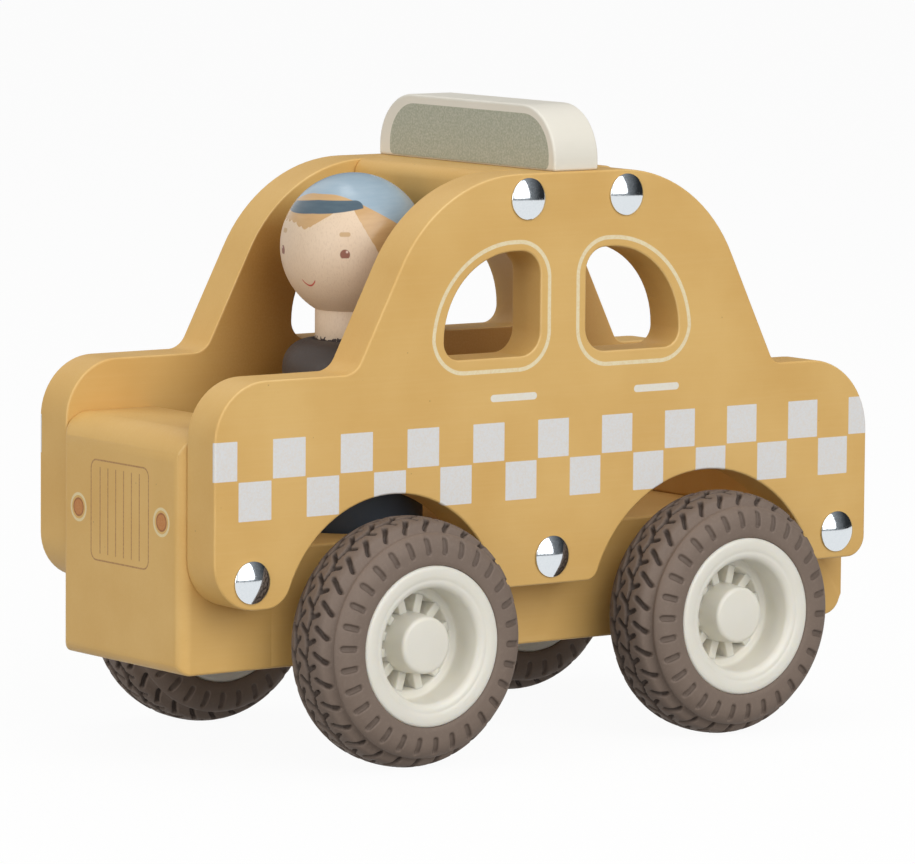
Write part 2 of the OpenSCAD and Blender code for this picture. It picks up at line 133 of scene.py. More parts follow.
def close_material(tree, surface, relief=None):
    if relief:
        strength, depth, height = relief
        bump = {"Strength": strength, "Distance": depth, "Height": height}
        surface["Normal"] = add(tree, "Bump", named=bump)
    add(tree, "OutputMaterial", add(tree, "BsdfPrincipled", named=surface))


def new_object(name, shape, finish):
    mesh = bpy.data.meshes.new(name)
    shape.to_mesh(mesh)
    shape.free()
    mesh.materials.append(finish)
    thing = bpy.data.objects.new(name, mesh)
    bpy.context.scene.collection.objects.link(thing)
    return thing


MUSTARD = ("#DEB56D", "#D6AA60", "#EBD09A")
bpy.context.scene.view_settings.view_transform = "Standard"
print("mustard in linear light:", [round(share, 3) for share in linear(MUSTARD[0])])

# %% [markdown]
# ## Light, floor and background
# A white product picture has light from all round, a large soft lamp to one side, and a floor
# that is almost as white as the background. The world gives the all-round light at a plain level,
# and shows as white to the camera and in reflections. The floor is part plain paper, which takes a
# faint shadow, and part white glow that only the camera and reflections see. It throws back less
# light than it shows, so the underside of the car stays dark. A dark tent, part of a ball with a
# low skirt that runs further round, stands behind the car. Only reflections show it, such as those
# in polished metal.

# %% World
AROUND = 0.36


def seen_directly(tree):
    rays = add(tree, "LightPath").node.outputs
    seen = add(tree, "Math MAXIMUM", rays["Is Camera Ray"], rays["Is Glossy Ray"])
    return add(tree, "Math MAXIMUM", seen, rays["Is Transmission Ray"])


world = bpy.data.worlds.new("white_studio")
world.use_nodes = True
bpy.context.scene.world = world
tree = world.node_tree
tree.nodes.clear()
strength = add(tree, "MapRange", seen_directly(tree), 0.0, 1.0, AROUND, 1.0)
add(tree, "OutputWorld", add(tree, "Background", (1.0, 1.0, 1.0, 1.0), strength))
print("all-round light:", AROUND)

# %% Lamps
CAR_MIDDLE = Vector((0, 0, 0.07))


def soft_lamp(name, direction, distance, size, level):
    lamp = bpy.data.lights.new(name, "AREA")
    lamp.shape = "SQUARE"
    lamp.size = size
    lamp.energy = level * (math.pi * distance) ** 2
    holder = bpy.data.objects.new(name, lamp)
    aim = Vector(direction).normalized()
    holder.rotation_euler = aim.to_track_quat("Z", "Y").to_euler()
    holder.location = CAR_MIDDLE + aim * distance
    bpy.context.scene.collection.objects.link(holder)


soft_lamp("side_softbox", (0.0, 0.88, 0.47), 1.7, 1.7, 0.77)
soft_lamp("nose_softbox", (0.95, 0.15, 0.12), 1.4, 0.9, 0.41)
soft_lamp("top_softbox", (-0.1, -0.15, 0.98), 1.3, 0.6, 0.19)
print("lamps:", [thing.name for thing in bpy.data.lights])

# %% Floor
FLOOR_HALF = 9.0
FLOOR_GLOW = 0.95

material, tree, place = start_material("white_paper_floor")
seen = seen_directly(tree)
share = add(tree, "Math MULTIPLY", seen, FLOOR_GLOW)
paper_tone = add(tree, "Mix", seen, linear("#999997"), linear("#F8F8F7"))
paper = add(tree, "BsdfDiffuse", paper_tone)
glow = add(tree, "Emission", (1.0, 1.0, 1.0, 1.0), 1.0)
add(tree, "OutputMaterial", add(tree, "MixShader", share, paper, glow))
sheet = bmesh.new()
bmesh.ops.create_grid(sheet, x_segments=1, y_segments=1, size=FLOOR_HALF)
floor = new_object("floor", sheet, material)
print("floor half side in m:", FLOOR_HALF)

# %% Dark tent
TENT_RADIUS = 1.1
TENT_PANELS = 72
TENT_FROM = math.radians(117)
TENT_TO = math.radians(250)
SKIRT_FROM = math.radians(40)
SKIRT_HEIGHT = 0.095
TENT_DARK = 0.03
TENT_PALE = 0.3
PALE_SHARE = 0.4
DARK_SHARE = 0.9
FELT_CLOUD = 0.04

# Felt is dark and uneven.
felt, tree, place = start_material("grey_felt_tent")
aside = add(tree, "SeparateXYZ", place).node.outputs["X"]
weave = add(tree, "TexNoise", place, 1 / FELT_CLOUD, 3.0)
uneven = add(tree, "MapRange", weave, 0.3, 0.7, 0.4, 1.6)
pale_x = -PALE_SHARE * TENT_RADIUS
dark_x = -DARK_SHARE * TENT_RADIUS
tone = add(tree, "MapRange", aside, pale_x, dark_x, TENT_PALE, TENT_DARK)
tone = add(tree, "Math MULTIPLY", tone, uneven)
add(tree, "OutputMaterial", add(tree, "Emission", (0.9, 0.95, 1.0, 1.0), tone))
ball = bmesh.new()
bmesh.ops.create_uvsphere(ball, u_segments=TENT_PANELS, v_segments=TENT_PANELS, radius=TENT_RADIUS)
spare = []
for face in ball.faces:
    spot = face.calc_center_median()
    turn = math.atan2(spot.y, spot.x) % (2 * math.pi)
    in_tent = spot.z > 0 and TENT_FROM < turn < TENT_TO
    in_skirt = 0 < spot.z < SKIRT_HEIGHT and SKIRT_FROM < turn < TENT_TO
    if not (in_tent or in_skirt):
        spare.append(face)
bmesh.ops.delete(ball, geom=spare, context="FACES")
tent = new_object("dark_tent", ball, felt)
tent.visible_camera = False
tent.visible_diffuse = False
tent.visible_shadow = False
print("tent panels seen only in reflections:", len(tent.data.polygons))

# %% [markdown]
# ## Satin paint on wood
# The plates and blocks are beech, sprayed with satin acrylic and sanded between coats. To the eye that
# gives an even mustard with slow clouds of tone, a trace of the grain that lies under the film, a few
# specks of dust, and paler lines where the edges rub through. Prints are laid over the paint, so the paint
# takes a list of printed areas, each with its mask and its colour; the side plates add painted shade to
# that list.

# %% Paint
GRAIN_LENGTH = 16 * MM
GRAIN_WIDTH = 0.55 * MM
CLOUD = 20 * MM
DUST_SPACING = 7 * MM
ORANGE_PEEL = 0.45 * MM


def satin_paint(name, light, deep, worn, lay_prints_and_shade=None):
    material, tree, place = start_material(name)
    clouds = add(tree, "TexNoise", place, 1 / CLOUD, 4.0)
    tone = add(tree, "MapRange", clouds, 0.3, 0.7, 0.0, 1.0)
    colour = add(tree, "Mix", tone, linear(deep), linear(light))
    stretch = (1 / GRAIN_LENGTH, 1 / GRAIN_WIDTH, 1 / GRAIN_WIDTH)
    along = add(tree, "VectorMath MULTIPLY", place, stretch)
    grain = add(tree, "TexNoise", along, 1.0, 3.0)
    grain_tone = add(tree, "MapRange", grain, 0.45, 0.75, 0.0, 0.06)
    colour = add(tree, "Mix", grain_tone, colour, linear(worn))
    dust = add(tree, "TexVoronoi", named={"Vector": place, "Scale": 1 / DUST_SPACING})
    dust_tone = add(tree, "MapRange", dust, 0.03, 0.02, 0.0, 0.45)
    colour = add(tree, "Mix", dust_tone, colour, linear("#8A6430"))
    peel = add(tree, "TexNoise", place, 1 / ORANGE_PEEL, 2.0)
    # Each layer is a print, except on the side plates, where one layer is painted shade.
    for mask, layer_colour, patchy in (lay_prints_and_shade(tree, place) if lay_prints_and_shade else []):
        body = add(tree, "MapRange", peel, 0.3, 0.62, 1.0 - patchy, 1.0)
        laid = add(tree, "Math MULTIPLY", mask, body)
        colour = add(tree, "Mix", laid, colour, linear(layer_colour))
    rubbed = add(tree, "Attribute", attribute_name="wear").node.outputs["Fac"]
    rub_patches = add(tree, "MapRange", clouds, 0.35, 0.65, 0.1, 0.5)
    rubbed = add(tree, "Math MULTIPLY", rubbed, rub_patches)
    colour = add(tree, "Mix", rubbed, colour, linear(worn))
    roughness = add(tree, "MapRange", peel, 0.3, 0.7, 0.46, 0.58)
    height = add(tree, "Math ADD", peel, grain)
    surface = {"Base Color": colour, "Roughness": roughness, "IOR": 1.47}
    close_material(tree, surface, (0.25, 0.04 * MM, height))
    return material


mustard = satin_paint("mustard_satin_acrylic_on_beech", *MUSTARD)
print("paint nodes:", len(mustard.node_tree.nodes))

# %% [markdown]
# ## Printed marks
# The side print is checks, two handle bars and a line round each window. A print on a flat board
# needs no geometry: each mark is a distance worked out from the place on the plate, and everything
# nearer than nothing is inked. One function gives the distance past a round corner, one the
# distance to a rectangle with such corners, and one turns any distance into a mask with a clean edge.

# %% Distances to marks
INK_EDGE = 0.06 * MM


def past_corner(tree, across, along):
    past = add(tree, "CombineXYZ", across, along, 0.0)
    past = add(tree, "VectorMath MAXIMUM", past, (0.0, 0.0, 0.0))
    return add(tree, "VectorMath LENGTH", past)


def slab_distance(tree, across, along, half_across, half_along, corner):
    near_a = add(tree, "Math ABSOLUTE", across)
    near_a = add(tree, "Math SUBTRACT", near_a, half_across - corner)
    near_b = add(tree, "Math ABSOLUTE", along)
    near_b = add(tree, "Math SUBTRACT", near_b, half_along - corner)
    outside = past_corner(tree, near_a, near_b)
    inside = add(tree, "Math MAXIMUM", near_a, near_b)
    inside = add(tree, "Math MINIMUM", inside, 0.0)
    whole = add(tree, "Math ADD", outside, inside)
    return add(tree, "Math SUBTRACT", whole, corner)


def inked(tree, distance, edge=INK_EDGE):
    return add(tree, "MapRange", distance, edge, -edge, 0.0, 1.0)


def apart(tree, value, middle):
    gap = add(tree, "Math SUBTRACT", value, middle)
    return add(tree, "Math ABSOLUTE", gap)


def line_at(tree, distance, offset, width):
    off = apart(tree, distance, offset)
    return inked(tree, add(tree, "Math SUBTRACT", off, width / 2))


def overlap(tree, mask, *others):
    for other in others:
        mask = add(tree, "Math MULTIPLY", mask, other)
    return mask


# %% Sizes of the side print and of the painted cabin shade
CHECK = 8.75 * MM
CHECK_START_X = 91.88 * MM
CHECK_TOP_Z = 72.16 * MM
CHECK_SHARE = 0.957
HANDLE_MIDDLE_X = -8.71 * MM
HANDLE_REACH = 19.59 * MM
HANDLE_Z = 77.3 * MM
HANDLE_LENGTH = 12.5 * MM
HANDLE_THICK = 1.6 * MM
PILLAR_X = -2.45 * MM
# The line runs a little nearer to the window at the pillar and at the top, so its frame is smaller.
PILLAR_INSET = 0.6 * MM
TOP_INSET = 0.85 * MM
WINDOW_NEAR = 6.2 * MM + PILLAR_INSET
WINDOW_LENGTH = 25.8 * MM - PILLAR_INSET
WINDOW_LOW_Z = 86.1 * MM
WINDOW_HEIGHT = 22.8 * MM - TOP_INSET
WINDOW_CORNER = 5.3 * MM
WINDOW_ARC = 18.7 * MM
OUTLINE_OFFSET = 2.9 * MM
OUTLINE_WIDTH = 0.9 * MM
PLATE_IN, PLATE_OUT = [corner.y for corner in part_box("left_side_plate")]
# Shade is painted on the plates' inner faces: a deeper brown, strongest towards the middle of the cabin
# and fading near its top.
CABIN_SHADE_FROM = 66 * MM
CABIN_SHADE_TO = 38 * MM
CABIN_SHADE_SHARE = 0.8
CABIN_SHADE_DEPTH = 0.1 * MM
CABIN_SHADE_TOP_Z = 120 * MM
CABIN_SHADE_FADE = 9 * MM
PRINT_DEPTH = 0.75 * MM
print("check in mm:", CHECK / MM)


# %% The side print and the painted cabin shade
def side_print_and_cabin_shade(tree, place):
    x, y, z = add(tree, "SeparateXYZ", place).node.outputs
    far_out = add(tree, "Math ABSOLUTE", y)
    face = add(tree, "Math GREATER_THAN", far_out, PLATE_OUT - PRINT_DEPTH)
    out = apart(tree, x, PILLAR_X)
    # Painted shade: the inner faces turn a deeper brown towards the middle of the cabin.
    inside = add(tree, "Math LESS_THAN", far_out, PLATE_IN + CABIN_SHADE_DEPTH)
    painted_cabin_shade = add(tree, "MapRange", out, CABIN_SHADE_FROM, CABIN_SHADE_TO, 0.0, CABIN_SHADE_SHARE, interpolation_type="SMOOTHSTEP")
    under = add(tree, "MapRange", z, CABIN_SHADE_TOP_Z, CABIN_SHADE_TOP_Z - CABIN_SHADE_FADE, 0.0, 1.0)
    painted_cabin_shade = overlap(tree, inside, under, painted_cabin_shade)

    start = (CHECK_START_X / CHECK, 1.5, CHECK_TOP_Z / CHECK)
    cells = add(tree, "VectorMath MULTIPLY_ADD", place, (-1 / CHECK, 0.0, -1 / CHECK), start)
    column, _, row = add(tree, "SeparateXYZ", cells).node.outputs
    chequer = add(tree, "TexChecker", named={"Vector": cells, "Scale": 1.0}).node.outputs["Fac"]
    across = add(tree, "Math SUBTRACT", add(tree, "Math FRACT", column), 0.5)
    along = add(tree, "Math SUBTRACT", add(tree, "Math FRACT", row), 0.5)
    half = CHECK_SHARE / 2
    square = inked(tree, slab_distance(tree, across, along, half, half, 0.02), INK_EDGE / CHECK)
    rows = add(tree, "Math COMPARE", row, 1.0, 1.0)
    checks = overlap(tree, square, chequer, rows, face)

    side = add(tree, "Math SUBTRACT", apart(tree, x, HANDLE_MIDDLE_X), HANDLE_REACH)
    rise = add(tree, "Math SUBTRACT", z, HANDLE_Z)
    bar = slab_distance(tree, side, rise, HANDLE_LENGTH / 2, HANDLE_THICK / 2, HANDLE_THICK / 2)
    handles = overlap(tree, inked(tree, bar), face)

    side = add(tree, "Math SUBTRACT", out, WINDOW_NEAR + WINDOW_LENGTH / 2)
    rise = add(tree, "Math SUBTRACT", z, WINDOW_LOW_Z + WINDOW_HEIGHT / 2)
    frame_line = slab_distance(tree, side, rise, WINDOW_LENGTH / 2, WINDOW_HEIGHT / 2, WINDOW_CORNER)
    arc_out = add(tree, "Math SUBTRACT", out, WINDOW_NEAR + WINDOW_LENGTH - WINDOW_ARC)
    arc_up = add(tree, "Math SUBTRACT", z, WINDOW_LOW_Z + WINDOW_HEIGHT - WINDOW_ARC)
    arc = add(tree, "Math SUBTRACT", past_corner(tree, arc_out, arc_up), WINDOW_ARC)
    frame_line = add(tree, "Math MAXIMUM", frame_line, arc)
    outlines = overlap(tree, line_at(tree, frame_line, OUTLINE_OFFSET, OUTLINE_WIDTH), face)
    inks = [(checks, "#E0E0E0", 0.14), (handles, "#E8E4D8", 0.12), (outlines, "#EBDDB8", 0.3)]
    # The first layer is painted shade, and the rest are ink.
    return [(painted_cabin_shade, "#A5702C", 0.1)] + inks


plate_paint = satin_paint("printed_mustard_acrylic_on_beech_with_painted_cabin_shade", *MUSTARD, side_print_and_cabin_shade)
print("print nodes:", len(plate_paint.node_tree.nodes))

# %% [markdown]
# ## Rounded boards
# A sawn board is sanded before it is painted, so its edges are soft. The CAD mesh is loose
# triangles: merging them and dissolving the flat ones gives clean faces, and one bevel on the sharp
# edges gives the sanding. Drilled holes and glued joints stay crisp, so small closed loops of edges
# and the edges in a joint's plane are left out.
# The middle of each bevel is kept as a "wear" attribute, which the paint reads to show where the
# colour has rubbed thin.

# %% Round a board's edges
MERGE = 0.002 * MM
SHARP = math.radians(35)
FLAT = math.radians(0.3)
DRILLED = 13 * MM
GLUE_REACH = 0.05 * MM
BEVEL_STEPS = 4


def linked_groups(edges):
    left = set(edges)
    groups = []
    while left:
        group = [left.pop()]
        for edge in group:
            touching = {other for vert in edge.verts for other in vert.link_edges} & left
            left -= touching
            group.extend(touching)
        groups.append(group)
    return groups


def box_of(edges):
    corners = [vert.co for edge in edges for vert in edge.verts]
    low = Vector(min(corner[axis] for corner in corners) for axis in range(3))
    high = Vector(max(corner[axis] for corner in corners) for axis in range(3))
    return low, high


def merged_copy(node):
    shape = bmesh.new()
    shape.from_mesh(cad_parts[node].data)
    bmesh.ops.remove_doubles(shape, verts=shape.verts, dist=MERGE)
    return shape


def new_piece(name, shape, finish, body, slot, *nodes):
    for face in shape.faces:
        face.smooth = True
    piece = new_object(name, shape, finish)
    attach(piece, body)
    if nodes:
        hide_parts(*nodes)
    print(name, "faces:", len(piece.data.polygons))
    return piece


def sanded_board(name, node, radius, finish, slot, glued_x=()):
    shape = merged_copy(node)
    bmesh.ops.dissolve_limit(shape, angle_limit=FLAT, verts=shape.verts, edges=shape.edges)
    sharp = [edge for edge in shape.edges if edge.calc_face_angle(0) > SHARP]
    sanded = []
    for group in linked_groups(sharp):
        low, high = box_of(group)
        drilled = max(high - low) < DRILLED
        for edge in group:
            glued = any(all(abs(vert.co.x - x) < GLUE_REACH for vert in edge.verts) for x in glued_x)
            edge.smooth = not (drilled or glued)
            if edge.smooth:
                sanded.append(edge)
    result = bmesh.ops.bevel(shape, geom=sanded, affect="EDGES", offset=radius, offset_type="OFFSET",
                             segments=BEVEL_STEPS, profile=0.5, material=-1, clamp_overlap=False)
    wear = shape.verts.layers.float.new("wear")
    rounded = set(result["faces"])
    inner = {vert for vert in shape.verts if all(face in rounded for face in vert.link_faces)}
    for vert in inner:
        crest = all(other in inner for face in vert.link_faces for other in face.verts)
        vert[wear] = 1.0 if crest else 0.0
    bmesh.ops.triangulate(shape, faces=[face for face in shape.faces if len(face.verts) > 4])
    piece = new_piece(name, shape, finish, "car_body", slot, node)
    shading = piece.modifiers.new("even_shading", "WEIGHTED_NORMAL")
    shading.keep_sharp = True


# %% Side plates
PLATE_SANDING = 0.5 * MM

for side in ("left", "right"):
    board = side + "_side_plate"
    sanded_board(side + "_plate_sanded", board, PLATE_SANDING, plate_paint, "mustard_painted_wood")

# %% [markdown]
# ## Blocks between the plates
# The chassis, boot and roof blocks are plain painted wood with lightly broken edges. The bonnet
# block carries a printed grille and two lamps on its nose. They are drawn in the paint too, on
# the front face alone, so the nose stays a flat block.

# %% Nose print
NOSE_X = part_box("bonnet_block")[1].x
LAMP_Y = 16.1 * MM
LAMP_Z = 53.5 * MM
LAMP_RADIUS = 1.85 * MM
LAMP_RIM = 0.4 * MM
RING_GAP = 1.0 * MM
RING_WIDTH = 0.62 * MM
GRILLE_WIDTH = 22.3 * MM
GRILLE_HEIGHT = 21.7 * MM
GRILLE_Z = 53.6 * MM
GRILLE_CORNER = 2 * MM
GRILLE_LINE = 0.36 * MM
BAR_PITCH = 3.05 * MM
BAR_COUNT = 6
BAR_HEIGHT = 18.8 * MM


def nose_print(tree, place):
    x, y, z = add(tree, "SeparateXYZ", place).node.outputs
    face = add(tree, "Math GREATER_THAN", x, NOSE_X - PRINT_DEPTH)
    rise = add(tree, "Math SUBTRACT", z, GRILLE_Z)
    surround = slab_distance(tree, y, rise, GRILLE_WIDTH / 2, GRILLE_HEIGHT / 2, GRILLE_CORNER)
    lines = line_at(tree, surround, 0.0, GRILLE_LINE)
    step = add(tree, "Math WRAP", y, BAR_PITCH, 0.0)
    step = add(tree, "Math SUBTRACT", step, BAR_PITCH / 2)
    bar = slab_distance(tree, step, rise, GRILLE_LINE / 2, BAR_HEIGHT / 2, GRILLE_LINE / 2)
    reach = add(tree, "Math COMPARE", y, 0.0, BAR_PITCH * BAR_COUNT / 2)
    lines = add(tree, "Math MAXIMUM", lines, overlap(tree, inked(tree, bar), reach))
    side = add(tree, "Math SUBTRACT", add(tree, "Math ABSOLUTE", y), LAMP_Y)
    rise = add(tree, "Math SUBTRACT", z, LAMP_Z)
    lamp = slab_distance(tree, side, rise, LAMP_RADIUS, LAMP_RADIUS, LAMP_RADIUS)
    bulb = inked(tree, lamp)
    rim = line_at(tree, lamp, 0.0, LAMP_RIM)
    ring = line_at(tree, lamp, RING_GAP, RING_WIDTH)
    inks = [(lines, "#A97B4B", 0.4), (ring, "#E8D5A6", 0.2), (bulb, "#BE7A3E", 0.2), (rim, "#9C5F30", 0.2)]
    return [(overlap(tree, mask, face), layer_colour, patchy) for mask, layer_colour, patchy in inks]


nose_paint = satin_paint("printed_mustard_acrylic_nose", *MUSTARD, nose_print)
print("nose print nodes:", len(nose_paint.node_tree.nodes))

# %% Blocks
BLOCK_SANDING = 0.65 * MM
chassis_ends = [corner.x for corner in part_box("chassis_block")]

for part, finish in (("bonnet", nose_paint), ("chassis", mustard), ("boot", mustard), ("roof", mustard)):
    block = part + "_block"
    sanded_board(block + "_sanded", block, BLOCK_SANDING, finish, "mustard_painted_wood", chassis_ends)

# %% [markdown]
# ## Roof sign
# The sign is a cream block across the roof with a grey-green panel printed on its front and back.
# The panel is left bare of words. The print is speckled, as ink is on a lightly textured paint.

# %% Sign
SIGN_LOW, SIGN_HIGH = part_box("roof_sign")
SIGN_SANDING = 0.6 * MM
PANEL_SIDE = 3.2 * MM
PANEL_SHIFT = 1.0 * MM
PANEL_TOP = 2.0 * MM
PANEL_FOOT = 0.3 * MM
PANEL_ARC = 9.2 * MM
PANEL_CORNER = 1.5 * MM
PANEL_DEPTH = 0.3 * MM


def sign_print(tree, place):
    x, y, z = add(tree, "SeparateXYZ", place).node.outputs
    out = apart(tree, x, (SIGN_LOW.x + SIGN_HIGH.x) / 2)
    half_thick = (SIGN_HIGH.x - SIGN_LOW.x) / 2
    face = add(tree, "Math GREATER_THAN", out, half_thick - PANEL_DEPTH)
    low = SIGN_LOW.z + PANEL_FOOT
    high = SIGN_HIGH.z - PANEL_TOP
    half_across = SIGN_HIGH.y - PANEL_SIDE
    rise = add(tree, "Math SUBTRACT", z, (low + high) / 2)
    aside = add(tree, "Math SUBTRACT", y, PANEL_SHIFT)
    panel = slab_distance(tree, aside, rise, half_across, (high - low) / 2, PANEL_CORNER)
    side = add(tree, "Math ABSOLUTE", aside)
    arc_out = add(tree, "Math SUBTRACT", side, half_across - PANEL_ARC)
    arc_up = add(tree, "Math SUBTRACT", z, high - PANEL_ARC)
    arc = add(tree, "Math SUBTRACT", past_corner(tree, arc_out, arc_up), PANEL_ARC)
    panel = add(tree, "Math MAXIMUM", panel, arc)
    return [(overlap(tree, inked(tree, panel), face), "#A1A491", 0.32)]


cream = satin_paint("cream_satin_acrylic_on_beech", "#E8E3D7", "#E1DCCE", "#F0ECE2", sign_print)
sanded_board("roof_sign_sanded", "roof_sign", SIGN_SANDING, cream, "cream_painted_wood")

# %% [markdown]
# ## Dome pins
# The plates are held by polished steel pins with domed heads. A head is turned on a lathe, so its
# half outline is drawn as a few points and spun once round. The places of the pins come from the
# CAD solids: each linked group of edges is one pin.

# %% Lathe
ALONG_Y = Vector((0, 1, 0))
ALONG_Z = Vector((0, 0, 1))


def lathe(profile, axis, steps):
    shape = bmesh.new()
    points = [shape.verts.new(Vector((radius, 0, 0)) + axis * along) for radius, along in profile]
    edges = [shape.edges.new(pair) for pair in zip(points, points[1:])]
    bmesh.ops.spin(shape, geom=points + edges, cent=(0, 0, 0), axis=axis, angle=2 * math.pi,
                   steps=steps, use_merge=True)
    bmesh.ops.remove_doubles(shape, verts=shape.verts, dist=MERGE)
    bmesh.ops.recalc_face_normals(shape, faces=shape.faces)
    return shape


def add_shape(target, source, matrix):
    mesh = bpy.data.meshes.new("passing")
    source.to_mesh(mesh)
    before = len(target.verts)
    target.from_mesh(mesh)
    target.verts.ensure_lookup_table()
    bmesh.ops.transform(target, matrix=matrix, verts=target.verts[before:])
    bpy.data.meshes.remove(mesh)


def copy_round(shape, count):
    whole = shape.verts[:] + shape.edges[:] + shape.faces[:]
    bmesh.ops.spin(shape, geom=whole, cent=(0, 0, 0), axis=ALONG_Y,
                   angle=2 * math.pi * (count - 1) / count, steps=count - 1, use_duplicate=True)


# %% Polished steel
SCRATCH = 0.35 * MM

# Polished plating mirrors the studio, and fine scuffs soften the reflections a little.
polished, tree, place = start_material("polished_nickel_plated_steel")
scuffs = add(tree, "TexNoise", place, 1 / SCRATCH, 3.0)
roughness = add(tree, "MapRange", scuffs, 0.3, 0.75, 0.06, 0.16)
colour = add(tree, "Mix", scuffs, linear("#D6DDE2"), linear("#E6EAED"))
surface = {"Base Color": colour, "Metallic": 1.0, "Roughness": roughness}
close_material(tree, surface, (0.05, 0.02 * MM, scuffs))
print("steel roughness 0.06 to 0.16")

# %% Turn the pins
PIN_RADIUS = 4.58 * MM
PIN_HEIGHT = 1.7 * MM
DOME_RADIUS = 4.5 * MM
DOME_FOOT = 0.45 * MM
EDGE_TOP = 0.36 * MM
EDGE_FOOT = 0.1 * MM
SEAT_GAP = 0.02 * MM
SHANK = 1.9 * MM
SHANK_LENGTH = 18 * MM
DOME_STEPS = 9
PIN_STEPS = 48
dome_rise = PIN_HEIGHT - DOME_FOOT
dome_ball = (DOME_RADIUS ** 2 + dome_rise ** 2) / (2 * dome_rise)
dome_reach = math.asin(DOME_RADIUS / dome_ball)
dome = []
for i in range(DOME_STEPS + 1):
    angle = dome_reach * i / DOME_STEPS
    dome.append((dome_ball * math.sin(angle), PIN_HEIGHT - dome_ball * (1 - math.cos(angle))))
dome += [(PIN_RADIUS, EDGE_TOP), (PIN_RADIUS, EDGE_FOOT), (DOME_RADIUS, SEAT_GAP)]
dome += [(SHANK, SEAT_GAP), (SHANK, -SHANK_LENGTH), (0, -SHANK_LENGTH)]
pin = lathe(dome, ALONG_Y, PIN_STEPS)

for side, face_turn in (("left", 0), ("right", math.pi)):
    shape = bmesh.new()
    solids = merged_copy(side + "_dome_pins")
    for group in linked_groups(solids.edges):
        low, high = box_of(group)
        spot = (low + high) / 2
        spot.y = math.copysign(PLATE_OUT, spot.y)
        add_shape(shape, pin, Matrix.Translation(spot) @ Matrix.Rotation(face_turn, 4, "Z"))
    new_piece(side + "_pins_turned", shape, polished, "car_body", "bright_metal", side + "_dome_pins")

# %% [markdown]
# ## Rims
# Each rim is moulded in cream ABS: a flat lip with a fine groove, a deep bowl, a round hub cap and
# a ring of twelve fins at the bottom of the bowl. The bowl is spun from half its section. One fin
# is a side face pulled out to its thickness and bevelled, and a spin with copies sets the other
# eleven round the hub.

# %% Cream ABS
MOULD_GRAIN = 0.5 * MM
MOULD_CLOUD = 9 * MM

# Moulded ABS has an even satin sheen, and light sinks in a little, so its shadows are soft.
abs_cream, tree, place = start_material("cream_moulded_abs")
grain = add(tree, "TexNoise", place, 1 / MOULD_GRAIN, 2.0)
clouds = add(tree, "TexNoise", place, 1 / MOULD_CLOUD, 2.0)
colour = add(tree, "Mix", clouds, linear("#E3DFD3"), linear("#EBE8DD"))
roughness = add(tree, "MapRange", grain, 0.3, 0.7, 0.32, 0.44)
surface = {"Base Color": colour, "Roughness": roughness, "IOR": 1.53}
surface["Subsurface Weight"] = 0.35
surface["Subsurface Radius"] = (1.0, 0.85, 0.6)
surface["Subsurface Scale"] = 1.6 * MM
close_material(tree, surface, (0.1, 0.03 * MM, grain))
print("ABS grain in mm:", MOULD_GRAIN / MM)

# %% Mould a rim
# Each point of a section is a radius and a depth behind the wheel's outer face, in mm.
SPOKES = 12
SPOKE_THICK = 2.0
SPOKE_EDGE = 0.3 * MM
ROUND_STEPS = 96
BORE_END = 4.2
hub_cap = [(0, 2.25), (5.2, 2.25), (5.8, 2.36), (6.12, 2.66), (6.25, 3.1), (6.6, 8.5), (6.7, 13)]
ledge = [(10.2, 13), (10.3, 9.0), (10.55, 8.62), (10.9, 8.45), (11.8, 8.4), (12.1, 8.3), (12.27, 8.05)]
bowl = [(12.34, 7.6), (12.38, 1.9), (12.46, 1.4), (12.75, 0.9), (13.3, 0.5)]
lip = [(14.0, 0.25), (14.25, 0.34), (14.5, 0.2), (15.2, 0.06), (16.2, 0.02)]
lip += [(16.9, 0.1), (17.25, 0.3), (17.38, 0.7)]
behind = [(17.38, 19.3), (16.9, 19.9), (12.5, 20), (12, 19.5), (12, 15), (5, 15)]
bore = [(5, 23.4), (2.53, 23.4), (2.53, BORE_END), (0, BORE_END)]
rim_line = hub_cap + ledge + bowl + lip + behind + bore
rim_shape = lathe([(radius * MM, -depth * MM) for radius, depth in rim_line], ALONG_Y, ROUND_STEPS)

spoke_side = [(6.2, 8.4), (10.5, 8.5), (11.0, 9.0), (11.0, 13.4), (6.2, 13.4)]
spoke = bmesh.new()
near = -SPOKE_THICK / 2
corners = [spoke.verts.new(Vector((radius, -depth, near)) * MM) for radius, depth in spoke_side]
grown = bmesh.ops.extrude_face_region(spoke, geom=[spoke.faces.new(corners)])["geom"]
moved = [part for part in grown if isinstance(part, bmesh.types.BMVert)]
bmesh.ops.translate(spoke, vec=(0, 0, SPOKE_THICK * MM), verts=moved)
bmesh.ops.recalc_face_normals(spoke, faces=spoke.faces)
bmesh.ops.bevel(spoke, geom=spoke.edges[:], affect="EDGES", offset=SPOKE_EDGE, segments=2,
                profile=0.5, material=-1)
half_step = Matrix.Rotation(math.pi / SPOKES, 3, "Y")
bmesh.ops.rotate(spoke, cent=(0, 0, 0), matrix=half_step, verts=spoke.verts)
copy_round(spoke, SPOKES)
add_shape(rim_shape, spoke, Matrix.Identity(4))
print("rim faces:", len(rim_shape.faces))

# %% Place the rims
WHEELS = [(end, side) for end in ("front", "rear") for side in ("left", "right")]


def wheel_matrix(end, side):
    low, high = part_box(f"{end}_{side}_tyre")
    spot = (low + high) / 2
    spot.y = high.y if side == "left" else low.y
    return Matrix.Translation(spot) @ Matrix.Rotation(0 if side == "left" else math.pi, 4, "Z")


def fit_wheels(source, part, finish, slot):
    for end, side in WHEELS:
        node = f"{end}_{side}_{part}"
        shape = bmesh.new()
        add_shape(shape, source, wheel_matrix(end, side))
        new_piece(node + "_moulded", shape, finish, end + "_wheels", slot, node)


fit_wheels(rim_shape, "rim", abs_cream, "rim_plastic")

